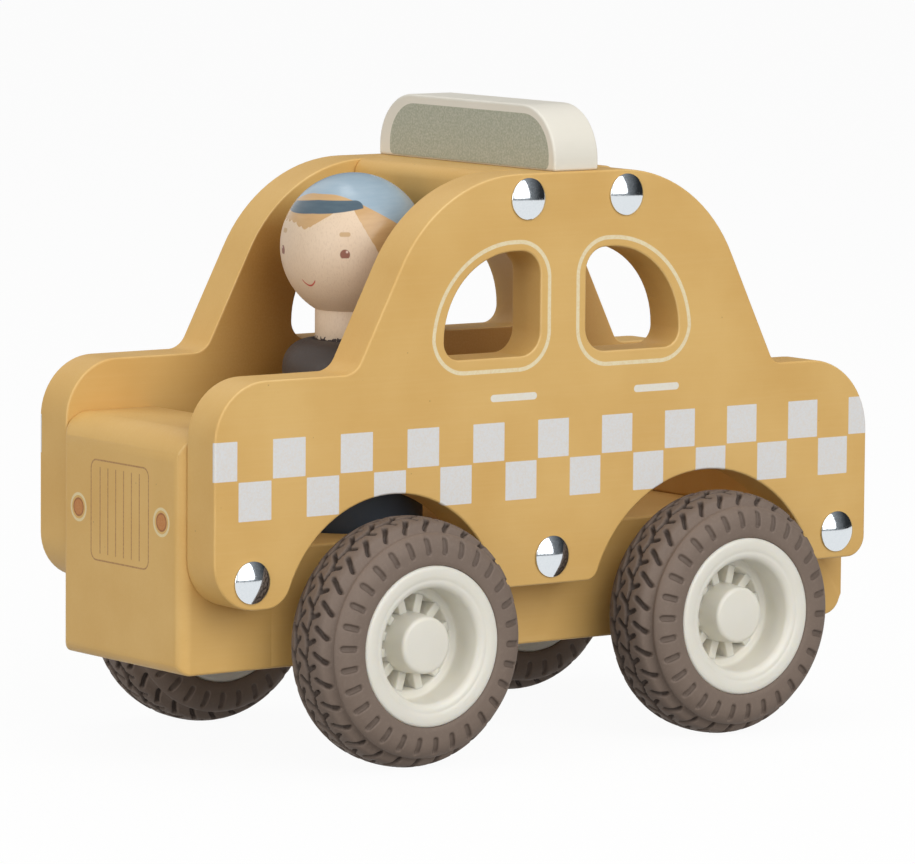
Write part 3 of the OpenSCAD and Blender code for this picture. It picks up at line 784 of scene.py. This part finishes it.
# %% [markdown]
# ## Tyres
# The tyres are soft brown rubber with a moulded tread: slots on the side wall, slanted cuts on the
# shoulder and a zigzag groove with short branches round the middle. The tread repeats 30 times, so
# only one repeat is shaped. Its section is spun through one pitch as a fine grid, the grid is
# pressed in along its normals where a cut lies, and copies of it close the ring.

# %% Brown rubber
DUST = 0.8 * MM
SKIN = 0.3 * MM
RUBBER_CLOUD = 8 * MM

# Moulded rubber is matt, with paler dust on its skin. Shade is painted into its cuts and onto its crown,
# read from an attribute.
rubber, tree, place = start_material("brown_moulded_rubber")
dust = add(tree, "TexNoise", place, 1 / DUST, 4.0)
clouds = add(tree, "TexNoise", place, 1 / RUBBER_CLOUD, 2.0)
colour = add(tree, "Mix", clouds, linear("#706055"), linear("#7B6B5F"))
dust_tone = add(tree, "MapRange", dust, 0.5, 0.8, 0.0, 0.35)
colour = add(tree, "Mix", dust_tone, colour, linear("#8E7F73"))
cut = add(tree, "Attribute", attribute_name="cut").node.outputs["Fac"]
# Painted shade: darker towards the floor of each cut, round the walls of the side slots, and on the crown.
shade = add(tree, "MapRange", cut, 0.3, 1.1, 0.0, 0.85)
colour = add(tree, "Mix", shade, colour, linear("#3D312A"))
skin = add(tree, "TexNoise", place, 1 / SKIN, 2.0)
roughness = add(tree, "MapRange", dust, 0.3, 0.7, 0.62, 0.8)
surface = {"Base Color": colour, "Roughness": roughness, "IOR": 1.5}
close_material(tree, surface, (0.3, 0.05 * MM, skin))
print("rubber nodes:", len(tree.nodes))

# %% Tyre section
TYRE_WIDTH = 20.0
TYRE_RADIUS = 27.0
CROWN_GAP = 0.02
POINT_SPACING = 0.27
side_wall = [(17.42, 0.4), (18.2, 0.1), (19.5, 0.03), (21.2, 0.12), (22.6, 0.6), (23.7, 1.4)]
ring_groove = [(24.2, 2.1), (24.12, 2.5), (23.8, 2.95), (23.95, 3.4), (24.55, 3.85)]
shoulder = [(25.3, 4.2), (25.95, 4.6), (26.4, 5.4), (26.75, 6.7), (26.93, 8.2)]
half = [Vector((radius, -depth)) for radius, depth in side_wall + ring_groove + shoulder]
far_half = [Vector((point.x, -TYRE_WIDTH - point.y)) for point in reversed(half)]
outline = half + [Vector((TYRE_RADIUS - CROWN_GAP, -TYRE_WIDTH / 2))] + far_half


def smooth_path(points, spacing):
    padded = [points[0], *points, points[-1]]
    path = []
    for before, start, end, after in zip(padded, padded[1:], padded[2:], padded[3:]):
        count = max(1, round((end - start).length / spacing))
        handle_a = start + (end - before) / 6
        handle_b = end - (after - start) / 6
        path += interpolate_bezier(start, handle_a, handle_b, end, count + 1)[:-1]
    return [Vector(point[:2]) for point in path + [points[-1]]]


section = smooth_path(outline, POINT_SPACING)
run = [0.0]
for here, there in zip(section, section[1:]):
    run.append(run[-1] + (there - here).length)
print("section points:", len(section), "length in mm:", round(run[-1], 1))

# %% Tread cuts
PITCHES = 30
CUT_WALL = 0.24


def spot_on(turn, across):
    return Vector((math.radians(turn) * TYRE_RADIUS, across, 0))


# Each cut runs between two spots, given in degrees up the tyre's front and mm across it, with half
# its width and its depth in mm.
cuts = [
    (spot_on(11.9, 1.05), spot_on(8.3, -1.2), 0.46, 1.25),
    (spot_on(8.3, -1.2), spot_on(3.4, -1.8), 0.48, 1.3),
    (spot_on(3.4, -1.8), spot_on(-1.4, -1.55), 0.34, 1.3),
    (spot_on(-1.4, -1.55), spot_on(-3.7, -1.2), 0.32, 1.3),
    (spot_on(3.6, -1.9), spot_on(5.6, -3.65), 0.46, 1.2),
    (spot_on(11.3, 4.3), spot_on(8.3, 3.0), 0.46, 1.2),
    (spot_on(8.3, 3.0), spot_on(2.0, 2.5), 0.46, 1.3),
    (spot_on(2.0, 2.5), spot_on(-3.7, 3.0), 0.36, 1.3),
    (spot_on(5.8, 1.1), spot_on(2.0, 2.5), 0.46, 1.2),
    (spot_on(11.5, -3.85), spot_on(7.1, -6.9), 0.52, 1.1),
    (spot_on(5.5, 5.2), spot_on(1.1, 7.6), 0.52, 1.1),
]
SIDE_WALL_FROM = 9
SLOT_TURN = math.radians(2.9)
SLOT_MIDDLE = 21.55
SLOT_HALF = 1.85
SLOT_HALF_WIDTH = 0.62
SLOT_DEPTH = 0.65
SLOT_WALL = 0.4
SLOT_WALL_SHADE = 0.75
SLOT_FLOOR_SHADE = 0.4


def pressed(distance, half_width, wall):
    return min(max((half_width + wall / 2 - distance) / wall, 0), 1)


def away_from(point, start, end):
    share = intersect_point_line(point, start, end)[1]
    nearest = start.lerp(end, min(max(share, 0), 1))
    return (point - nearest).length


# Gives the depth of the cuts and the shade painted in them.
def depth_and_shade(turn, across, radius):
    deepest = 0.0
    shade = 0.0
    for wrap in (0, 1, 2):
        up_turn = wrap * 2 * math.pi / PITCHES - turn
        here = Vector((up_turn * TYRE_RADIUS, across, 0))
        for start, end, half_width, depth in cuts:
            deepest = max(deepest, depth * pressed(away_from(here, start, end), half_width, CUT_WALL))
        shade = max(shade, deepest)
        if abs(across) > SIDE_WALL_FROM:
            aside = radius * (up_turn - SLOT_TURN)
            beyond = max(abs(radius - SLOT_MIDDLE) - (SLOT_HALF - SLOT_HALF_WIDTH), 0)
            share = pressed(math.hypot(aside, beyond), SLOT_HALF_WIDTH, SLOT_WALL)
            deepest = max(deepest, share * SLOT_DEPTH)
            wall = 1 - abs(2 * share - 1)
            shade = max(shade, SLOT_FLOOR_SHADE * share + SLOT_WALL_SHADE * wall)
    return deepest, shade


print("cuts in each pitch:", len(cuts) + 2)

# %% One pitch of tyre
PITCH_STEPS = 28
PITCH_MERGE = 0.03 * MM
# Shade is painted on the crown, which counts as a shallow cut for the colour.
CROWN_SHADE = 0.5
CROWN_SHADE_FROM = 24.5
CROWN_SHADE_TO = 26.5

pitch = bmesh.new()
points = [pitch.verts.new(Vector((point.x, point.y, 0)) * MM) for point in section]
edges = [pitch.edges.new(pair) for pair in zip(points, points[1:] + points[:1])]
bmesh.ops.spin(pitch, geom=points + edges, cent=(0, 0, 0), axis=ALONG_Y,
               angle=2 * math.pi / PITCHES, steps=PITCH_STEPS)
bmesh.ops.recalc_face_normals(pitch, faces=pitch.faces)
pitch.normal_update()
# This attribute carries the painted shade for the rubber's colour.
painted_shade_layer = pitch.verts.layers.float.new("cut")
rows = {(round(point.x, 3), round(point.y, 3)): length for point, length in zip(section, run)}
for vert in pitch.verts:
    radius = math.hypot(vert.co.x, vert.co.z) / MM
    depth = vert.co.y / MM
    nearest = min(rows, key=lambda row: abs(row[0] - radius) + abs(row[1] - depth))
    across = rows[nearest] - run[-1] / 2
    depth, shade = depth_and_shade(math.atan2(-vert.co.z, vert.co.x), across, radius)
    crown_shade = min(max((radius - CROWN_SHADE_FROM) / (CROWN_SHADE_TO - CROWN_SHADE_FROM), 0), 1)
    vert[painted_shade_layer] = shade + CROWN_SHADE * crown_shade
    vert.co -= vert.normal * depth * MM
print("points in a pitch:", len(pitch.verts))

# %% Close the ring and place the tyres
copy_round(pitch, PITCHES)
bmesh.ops.remove_doubles(pitch, verts=pitch.verts, dist=PITCH_MERGE)
bmesh.ops.recalc_face_normals(pitch, faces=pitch.faces)
fit_wheels(pitch, "tyre", rubber, "tyre_rubber")

# %% [markdown]
# ## Driver
# The driver is a turned wooden peg: a painted body, a bare neck and a ball head with a painted cap
# and face. All three are spun from half outlines. The head's paint is worked out from the angle
# round the head and the angle up from its middle, so eyes, cap and hair sit on the ball as a brush
# would set them.

# %% Body paint
DRIVER_LOW, DRIVER_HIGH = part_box("driver_body")
BELT_Z = 60 * MM
BRUSH = 0.7 * MM
PAINT_CLOUD = 9 * MM

# Brushed acrylic dries matt, with faint strokes in its tone.
clothes, tree, place = start_material("matt_acrylic_on_turned_beech")
z = add(tree, "SeparateXYZ", place).node.outputs["Z"]
strokes = add(tree, "TexNoise", place, 1 / BRUSH, 3.0)
clouds = add(tree, "TexNoise", place, 1 / PAINT_CLOUD, 2.0)
jacket = add(tree, "Mix", strokes, linear("#3A312D"), linear("#493F39"))
trousers = add(tree, "Mix", clouds, linear("#46566A"), linear("#526378"))
above = add(tree, "MapRange", z, BELT_Z - INK_EDGE, BELT_Z + INK_EDGE, 0.0, 1.0)
colour = add(tree, "Mix", above, trousers, jacket)
roughness = add(tree, "MapRange", strokes, 0.3, 0.7, 0.5, 0.66)
surface = {"Base Color": colour, "Roughness": roughness, "IOR": 1.47}
close_material(tree, surface, (0.3, 0.05 * MM, strokes))
print("driver stands from", round(DRIVER_LOW.z / MM, 1), "to", round(DRIVER_HIGH.z / MM, 1), "mm")


# %% Bare beech
FLECK = 0.28 * MM
FLECK_LENGTH = 0.8 * MM
BEECH_CLOUD = 7 * MM
BLEED_LOW = 0.1 * MM
BLEED_HIGH = 0.9 * MM


def beech(tree, place):
    stretch = (1 / FLECK, 1 / FLECK, 1 / FLECK_LENGTH)
    along = add(tree, "VectorMath MULTIPLY", place, stretch)
    flecks = add(tree, "TexNoise", along, 1.0, 2.0)
    clouds = add(tree, "TexNoise", place, 1 / BEECH_CLOUD, 3.0)
    colour = add(tree, "Mix", clouds, linear("#E1C8AB"), linear("#E8D1B7"))
    dark = add(tree, "MapRange", flecks, 0.5, 0.8, 0.0, 0.3)
    return add(tree, "Mix", dark, colour, linear("#B8977A")), flecks


# Waxed beech is pale and satin, with short dark flecks along its grain.
bare, tree, place = start_material("waxed_bare_beech")
colour, flecks = beech(tree, place)
roughness = add(tree, "MapRange", flecks, 0.3, 0.7, 0.42, 0.55)
surface = {"Base Color": colour, "Roughness": roughness, "IOR": 1.5}
close_material(tree, surface, (0.15, 0.04 * MM, flecks))
print("beech flecks in mm:", FLECK / MM)

# The jacket's paint has crept up the foot of the neck, with an uneven edge.
collared, tree, place = start_material("waxed_beech_with_a_painted_foot")
colour, flecks = beech(tree, place)
rise = add(tree, "SeparateXYZ", place).node.outputs["Z"]
bleed = add(tree, "TexNoise", place, 1 / BRUSH, 2.0)
bleed = add(tree, "MapRange", bleed, 0.35, 0.65, DRIVER_HIGH.z + BLEED_LOW, DRIVER_HIGH.z + BLEED_HIGH)
wet = inked(tree, add(tree, "Math SUBTRACT", rise, bleed))
colour = add(tree, "Mix", wet, colour, linear("#4A3F3A"))
close_material(tree, {"Base Color": colour, "Roughness": 0.5, "IOR": 1.5})
print("paint runs up the neck to", round((DRIVER_HIGH.z + BLEED_HIGH) / MM, 1), "mm")

# %% Head paint
HEAD_LOW, HEAD_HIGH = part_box("driver_head")
BALL_RADIUS = (HEAD_HIGH.y - HEAD_LOW.y) / 2
HEAD_MIDDLE = Vector(((HEAD_LOW.x + HEAD_HIGH.x) / 2, 0, HEAD_HIGH.z - BALL_RADIUS))
FACE_TURN = math.radians(15)
FACE_TILT = math.radians(2.5)
BRUSH_EDGE = math.radians(0.35)
WOBBLE_SIZE = 1.5 * MM
WOBBLE = 0.8


def degrees(*angles):
    return [math.radians(angle) for angle in angles]


# The head is the same beech, and its brushed paint is glossier than the wax.
painted_head, tree, place = start_material("acrylic_on_waxed_beech_head")
colour, flecks = beech(tree, place)
local = add(tree, "VectorMath SUBTRACT", place, HEAD_MIDDLE)
local = add(tree, "VectorRotate", named={"Vector": local, "Axis": ALONG_Z, "Angle": -FACE_TURN})
local = add(tree, "VectorRotate", named={"Vector": local, "Axis": ALONG_Y, "Angle": -FACE_TILT})
local = add(tree, "VectorMath NORMALIZE", local)
x, y, z = add(tree, "SeparateXYZ", local).node.outputs
wobble = add(tree, "TexNoise", place, 1 / WOBBLE_SIZE, 1.0)
wobble = add(tree, "MapRange", wobble, 0.0, 1.0, *degrees(-WOBBLE, WOBBLE))
round_head = add(tree, "Math ARCTAN2", y, x)
lift = add(tree, "Math ARCSINE", z)
aside = add(tree, "Math ABSOLUTE", round_head)
print("head ball in mm:", round(BALL_RADIUS / MM, 2))

# %% Hair and cap
# Angles are in degrees, round the head from the nose or up from its middle. Slopes are ratios of
# two angles. Each line runs smoothly between two angles round the head, from one height to another.
CAP_LINE = (12, 155, 50.5, -12)
NAPE_LINE = (60, 110, -6, -24)
SAG_LINE = (0, 18, 20.4, 24.6)
TEMPLE = 59.5
TEMPLE_SLOPE = -0.53
CURL = 8.5
CURL_DEPTH = -2.0
FRINGE_MIDDLE = -4
FRINGE_END = 60
PARTING_SLOPE = 0.6
PARTING = 26.6 - PARTING_SLOPE * 11.7


def brush_spot(tree, side, rise, *sizes):
    return inked(tree, slab_distance(tree, side, rise, *degrees(*sizes)), BRUSH_EDGE)


def above_line(tree, height, line):
    return inked(tree, add(tree, "Math SUBTRACT", line, height), BRUSH_EDGE)


shaky = add(tree, "Math ADD", lift, wobble)
cap_line = add(tree, "MapRange", aside, *degrees(*CAP_LINE), interpolation_type="SMOOTHSTEP")
cap = above_line(tree, lift, cap_line)
temple = add(tree, "Math MULTIPLY_ADD", lift, TEMPLE_SLOPE, math.radians(TEMPLE))
hair = above_line(tree, add(tree, "Math ADD", aside, wobble), temple)
nape = add(tree, "MapRange", aside, *degrees(*NAPE_LINE), interpolation_type="SMOOTHSTEP")
hair = overlap(tree, hair, above_line(tree, shaky, nape))
wave = add(tree, "Math MULTIPLY", round_head, math.pi / math.radians(CURL))
wave = add(tree, "Math ABSOLUTE", add(tree, "Math SINE", wave))
sag = apart(tree, round_head, math.radians(FRINGE_MIDDLE))
sag = add(tree, "MapRange", sag, *degrees(*SAG_LINE), interpolation_type="SMOOTHSTEP")
wave = add(tree, "Math MULTIPLY_ADD", wave, math.radians(CURL_DEPTH), sag)
left_end = add(tree, "Math MULTIPLY_ADD", round_head, PARTING_SLOPE, math.radians(PARTING))
fringe_line = add(tree, "Math MAXIMUM", left_end, wave)
fringe = above_line(tree, shaky, fringe_line)
fringe_end = add(tree, "Math SUBTRACT", aside, math.radians(FRINGE_END))
fringe = overlap(tree, fringe, inked(tree, fringe_end, BRUSH_EDGE))
print("fringe ends at", FRINGE_END, "degrees")

# %% Visor and brushed colours
VISOR_LIFT = 38.0
VISOR_DROOP = 2.2
VISOR_LEAN = 0.045
VISOR_REACH = 50
VISOR_HALF_WIDTH = 39.5
VISOR_HALF_HEIGHT = 6.3
VISOR_CORNER = 6.2
VISOR_CURVE = 5
STROKE_STRETCH = (4.0, 4.0, 22.0)

visor_side = add(tree, "Math MULTIPLY", round_head, math.cos(math.radians(VISOR_LIFT)))
visor_middle = add(tree, "MapRange", aside, *degrees(0, VISOR_REACH, VISOR_LIFT, VISOR_LIFT - VISOR_DROOP))
visor_middle = add(tree, "Math MULTIPLY_ADD", round_head, VISOR_LEAN, visor_middle)
visor_rise = add(tree, "Math SUBTRACT", lift, visor_middle)
visor_size = degrees(VISOR_HALF_WIDTH, VISOR_HALF_HEIGHT, VISOR_CORNER)
visor = slab_distance(tree, visor_side, visor_rise, *visor_size)
curve = add(tree, "Math MULTIPLY", round_head, round_head)
bend = math.radians(VISOR_CURVE) / math.radians(VISOR_REACH) ** 2
curve = add(tree, "Math MULTIPLY_ADD", curve, bend, math.radians(-VISOR_HALF_HEIGHT))
below = add(tree, "Math SUBTRACT", curve, visor_rise)
visor = inked(tree, add(tree, "Math MAXIMUM", visor, below), BRUSH_EDGE)
stroke_place = add(tree, "VectorMath MULTIPLY", local, STROKE_STRETCH)
strokes = add(tree, "TexNoise", stroke_place, 1.0, 3.0)
cap_blue = add(tree, "Mix", strokes, linear("#95ABBB"), linear("#A6B9C5"))
slate = add(tree, "Mix", strokes, linear("#3C5160"), linear("#566A75"))
tan = add(tree, "Mix", strokes, linear("#C29865"), linear("#D4AE7A"))
paints = [(hair, tan), (fringe, tan), (cap, cap_blue), (visor, slate)]
painted = 0.0
for mask, paint in paints:
    painted = add(tree, "Math MAXIMUM", painted, mask)
print("painted areas of hair and cap:", len(paints))

# %% Eyes, brows and smile
EYE_TURN = 33
EYE_SIZE = 3.9
EYE_FOOT = -2.9
# The glint in each eye is a painted highlight.
GLINT_SIDE = 1.6
GLINT_LIFT = 2.0
GLINT_SIZE = 0.9
BROW_LIFT = 15.5
BROW_SIZES = (4.5, 1.8, 1.7)
SMILE_MIDDLE = -2.2
SMILE_SIZES = (7.4, 0.75, 0.7)
SMILE_LIFT = -26.6
SMILE_BEND = 0.0895

eye_side = add(tree, "Math SUBTRACT", aside, math.radians(EYE_TURN))
eye = slab_distance(tree, eye_side, lift, *degrees(EYE_SIZE, EYE_SIZE, EYE_SIZE))
flat_foot = add(tree, "Math SUBTRACT", math.radians(EYE_FOOT), lift)
eye = inked(tree, add(tree, "Math MAXIMUM", eye, flat_foot), BRUSH_EDGE)
glint_side = add(tree, "Math SUBTRACT", eye_side, math.radians(GLINT_SIDE))
glint_lift = add(tree, "Math SUBTRACT", lift, math.radians(GLINT_LIFT))
painted_glint = brush_spot(tree, glint_side, glint_lift, GLINT_SIZE, GLINT_SIZE, GLINT_SIZE)
brow_lift = add(tree, "Math SUBTRACT", lift, math.radians(BROW_LIFT))
brow = brush_spot(tree, eye_side, brow_lift, *BROW_SIZES)
mouth_side = add(tree, "Math SUBTRACT", round_head, math.radians(SMILE_MIDDLE))
bow = add(tree, "Math MULTIPLY", mouth_side, mouth_side)
bend = SMILE_BEND / math.radians(1)
bow = add(tree, "Math MULTIPLY_ADD", bow, bend, math.radians(SMILE_LIFT))
mouth_lift = add(tree, "Math SUBTRACT", lift, bow)
mouth = brush_spot(tree, mouth_side, mouth_lift, *SMILE_SIZES)
front = add(tree, "Math GREATER_THAN", x, 0.0)
marks = [(eye, "#8A5744"), (painted_glint, "#E2CABB"), (brow, "#C9A87E"), (mouth, "#C44B40")]
for mask, paint in paints + [(overlap(tree, mask, front), linear(paint)) for mask, paint in marks]:
    colour = add(tree, "Mix", mask, colour, paint)
brushed = add(tree, "MapRange", painted, 0.0, 1.0, 0.5, 0.24)
height = add(tree, "Math ADD", flecks, strokes)
surface = {"Base Color": colour, "Roughness": brushed, "IOR": 1.5}
close_material(tree, surface, (0.3, 0.05 * MM, height))
print("head paint nodes:", len(tree.nodes))

# %% Turn the driver
NECK_LOW, NECK_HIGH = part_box("driver_neck")
BODY_RADIUS = (DRIVER_HIGH.y - DRIVER_LOW.y) / 2
SHOULDER = 6 * MM
FOOT = 0.8 * MM
SOCKET = 4 * MM
ARC_STEPS = 8
NECK_RADIUS = (NECK_HIGH.y - NECK_LOW.y) / 2
BALL_STEPS = 60

body = [(0, DRIVER_LOW.z), (BODY_RADIUS - FOOT, DRIVER_LOW.z), (BODY_RADIUS, DRIVER_LOW.z + FOOT)]
for i in range(ARC_STEPS + 1):
    angle = math.pi / 2 * i / ARC_STEPS
    radius = BODY_RADIUS - SHOULDER * (1 - math.cos(angle))
    body.append((radius, DRIVER_HIGH.z - SHOULDER * (1 - math.sin(angle))))
socket_z = DRIVER_HIGH.z - SOCKET
body += [(NECK_RADIUS, DRIVER_HIGH.z), (NECK_RADIUS, socket_z), (0, socket_z)]
neck = [(0, NECK_LOW.z), (NECK_RADIUS, NECK_LOW.z), (NECK_RADIUS, NECK_HIGH.z), (0, NECK_HIGH.z)]
ball = [(0, HEAD_LOW.z)]
start = math.asin((HEAD_LOW.z - HEAD_MIDDLE.z) / BALL_RADIUS)
for i in range(BALL_STEPS + 1):
    angle = start + (math.pi / 2 - start) * i / BALL_STEPS
    ball.append((BALL_RADIUS * math.cos(angle), HEAD_MIDDLE.z + BALL_RADIUS * math.sin(angle)))
stand = Matrix.Translation((HEAD_MIDDLE.x, 0, 0))
turned = [
    ("body", body, clothes, "dark_painted_wood"),
    ("neck", neck, collared, "bare_wood"),
    ("head", ball, painted_head, "bare_wood"),
]
for part, profile, finish, slot in turned:
    shape = lathe(profile, ALONG_Z, ROUND_STEPS)
    bmesh.ops.transform(shape, matrix=stand, verts=shape.verts)
    new_piece("driver_" + part + "_turned", shape, finish, "driver", slot, "driver_" + part)

# %% [markdown]
# ## Pieces that stay as CAD made them
# Axles, bushes and dowels are plain turned shapes that hardly show, so the CAD solids stay and only
# get a finish.

# %% Finish the hidden pieces
DRAW_WIDTH = 0.3 * MM
DRAW_LENGTH = 6 * MM

# Drawn steel is bright, with fine lines along the rod.
steel, tree, place = start_material("drawn_steel_rod")
stretch = (1 / DRAW_WIDTH, 1 / DRAW_LENGTH, 1 / DRAW_WIDTH)
along = add(tree, "VectorMath MULTIPLY", place, stretch)
draw_lines = add(tree, "TexNoise", along, 1.0, 2.0)
colour = add(tree, "Mix", draw_lines, linear("#9A9B9C"), linear("#B9BABA"))
roughness = add(tree, "MapRange", draw_lines, 0.3, 0.7, 0.25, 0.4)
close_material(tree, {"Base Color": colour, "Metallic": 1.0, "Roughness": roughness})

# Moulded nylon is an even, satin white.
nylon, tree, place = start_material("white_moulded_nylon")
grain = add(tree, "TexNoise", place, 1 / MOULD_GRAIN, 2.0)
colour = add(tree, "Mix", grain, linear("#D9D8D2"), linear("#E2E1DC"))
roughness = add(tree, "MapRange", grain, 0.3, 0.7, 0.4, 0.52)
close_material(tree, {"Base Color": colour, "Roughness": roughness})

kept = 0
for name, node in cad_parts.items():
    finish = steel if name.endswith("_axle") else nylon if name.endswith("_bush") else bare
    if name.endswith(("_axle", "_bush", "_dowels")):
        node.data.materials.clear()
        node.data.materials.append(finish)
        kept += 1
print("CAD solids kept with a finish:", kept)
